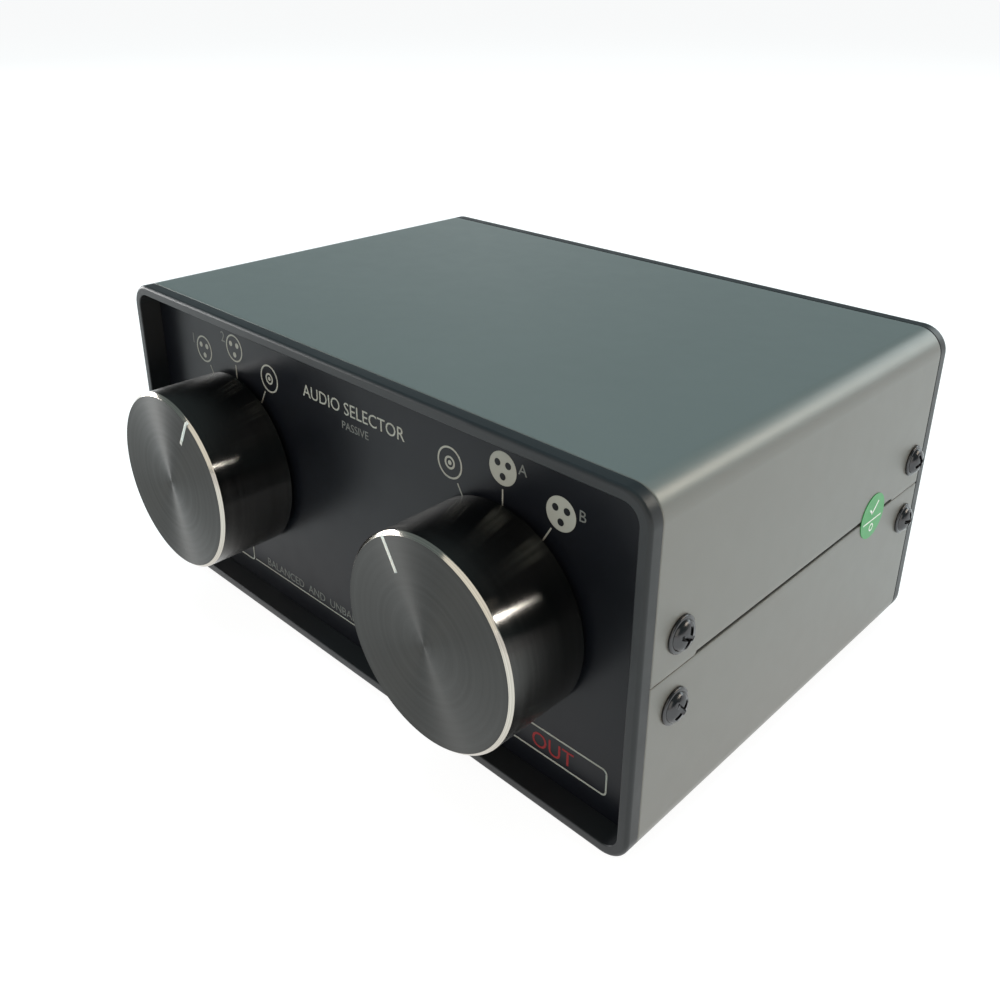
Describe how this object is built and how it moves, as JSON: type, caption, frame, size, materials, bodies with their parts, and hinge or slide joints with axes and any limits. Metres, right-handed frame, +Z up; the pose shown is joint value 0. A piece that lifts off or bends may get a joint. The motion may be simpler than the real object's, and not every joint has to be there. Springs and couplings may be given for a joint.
{
  "type": "audio switch box",
  "caption": "Desktop audio selector in a bent sheet case: one knob picks the input, the other the output, with three-pin and phono sockets at the rear.",
  "frame": {"origin": "under the middle of the part's box, on the surface that the feet stand on", "axes": "+X to the right seen from the front, +Y from the knobs to the rear sockets, +Z up"},
  "size_m": [0.1528, 0.124, 0.072],
  "materials": {
    "bezel_plastic": "black moulded satin",
    "panel_print": "dark satin screen-printed panel",
    "shell_paint": "dark grey fine satin paint",
    "black_nickel": "polished black nickel",
    "foot_rubber": "matt",
    "sticker_film": "green film",
    "knob_anodised": "black anodised, spun face, bright chamfer",
    "grub_steel": "blackened",
    "spindle_steel": "plated",
    "bush_brass": "turned",
    "switch_zinc": "zinc plated",
    "rotor_nylon": "natural nylon",
    "contact_plate_resin": "resin bonded paper",
    "terminal_tin": "tinned",
    "board_green": "solder mask",
    "header_black": "moulded",
    "ribbon_grey": "grey insulation",
    "socket_black": "glass filled nylon",
    "latch_steel": "pressed, plated",
    "contact_gold": "gold flashed",
    "phono_block_white": "moulded",
    "phono_block_black": "moulded",
    "phono_gold": "gold flashed",
    "phono_insulator": "white on the left way and red on the right way"
  },
  "bodies": {
    "case": {"front_bezel": "bezel_plastic", "rear_bezel": "bezel_plastic", "front_panel": "panel_print", "rear_panel": "panel_print", "upper_shell": "shell_paint", "lower_shell": "shell_paint", "case_screws": "black_nickel", "rubber_feet": "foot_rubber", "inspection_sticker": "sticker_film", "input_bush": "bush_brass", "output_bush": "bush_brass", "bush_nuts": "spindle_steel", "lock_washers": "spindle_steel", "input_switch_case": "switch_zinc", "output_switch_case": "switch_zinc", "input_index_spring": "spindle_steel", "output_index_spring": "spindle_steel", "contact_plates": "contact_plate_resin", "switch_terminals": "terminal_tin", "selector_board": "board_green", "connector_board": "board_green", "board_headers": "header_black", "ribbon_plugs": "header_black", "ribbon_cables": "ribbon_grey", "input_socket_1_left": "socket_black", "input_socket_1_right": "socket_black", "input_socket_2_left": "socket_black", "input_socket_2_right": "socket_black", "output_socket_a_left": "socket_black", "output_socket_a_right": "socket_black", "output_socket_b_left": "socket_black", "output_socket_b_right": "socket_black", "input_inserts": "socket_black", "input_insert_bases": "socket_black", "output_inserts": "socket_black", "input_contacts": "contact_gold", "output_pins": "contact_gold", "socket_screws": "black_nickel", "input_phono_block": "phono_block_white", "output_phono_block": "phono_block_black", "input_phono_left": "phono_gold", "input_phono_right": "phono_gold", "output_phono_left": "phono_gold", "output_phono_right": "phono_gold", "phono_insulators": "phono_insulator", "phono_contacts": "contact_gold", "phono_screws": "black_nickel", "phono_leads": "terminal_tin"},
    "input_knob": {"input_knob": "knob_anodised", "input_grub_screw": "grub_steel", "input_spindle": "spindle_steel", "input_rotor": "rotor_nylon"},
    "output_knob": {"output_knob": "knob_anodised", "output_grub_screw": "grub_steel", "output_spindle": "spindle_steel", "output_rotor": "rotor_nylon"},
    "input_latch_1_left": {"input_latch_1_left": "latch_steel"},
    "input_latch_1_right": {"input_latch_1_right": "latch_steel"},
    "input_latch_2_left": {"input_latch_2_left": "latch_steel"},
    "input_latch_2_right": {"input_latch_2_right": "latch_steel"}
  },
  "joints": [
    {"name": "input_knob_turn", "type": "hinge", "parent": "case", "child": "input_knob", "pos_m": [-0.0408, -0.0485, 0.037], "axis": [0, 1, 0], "range_deg": [-60, 0]},
    {"name": "output_knob_turn", "type": "hinge", "parent": "case", "child": "output_knob", "pos_m": [0.0408, -0.0485, 0.037], "axis": [0, 1, 0], "range_deg": [0, 60]},
    {"name": "input_latch_1_left_press", "type": "slide", "parent": "case", "child": "input_latch_1_left", "axis": [0, -1, 0], "range_m": [0, 0.002], "stiffness_N_per_m": 400},
    {"name": "input_latch_1_right_press", "type": "slide", "parent": "case", "child": "input_latch_1_right", "axis": [0, -1, 0], "range_m": [0, 0.002], "stiffness_N_per_m": 400},
    {"name": "input_latch_2_left_press", "type": "slide", "parent": "case", "child": "input_latch_2_left", "axis": [0, -1, 0], "range_m": [0, 0.002], "stiffness_N_per_m": 400},
    {"name": "input_latch_2_right_press", "type": "slide", "parent": "case", "child": "input_latch_2_right", "axis": [0, -1, 0], "range_m": [0, 0.002], "stiffness_N_per_m": 400}
  ]
}
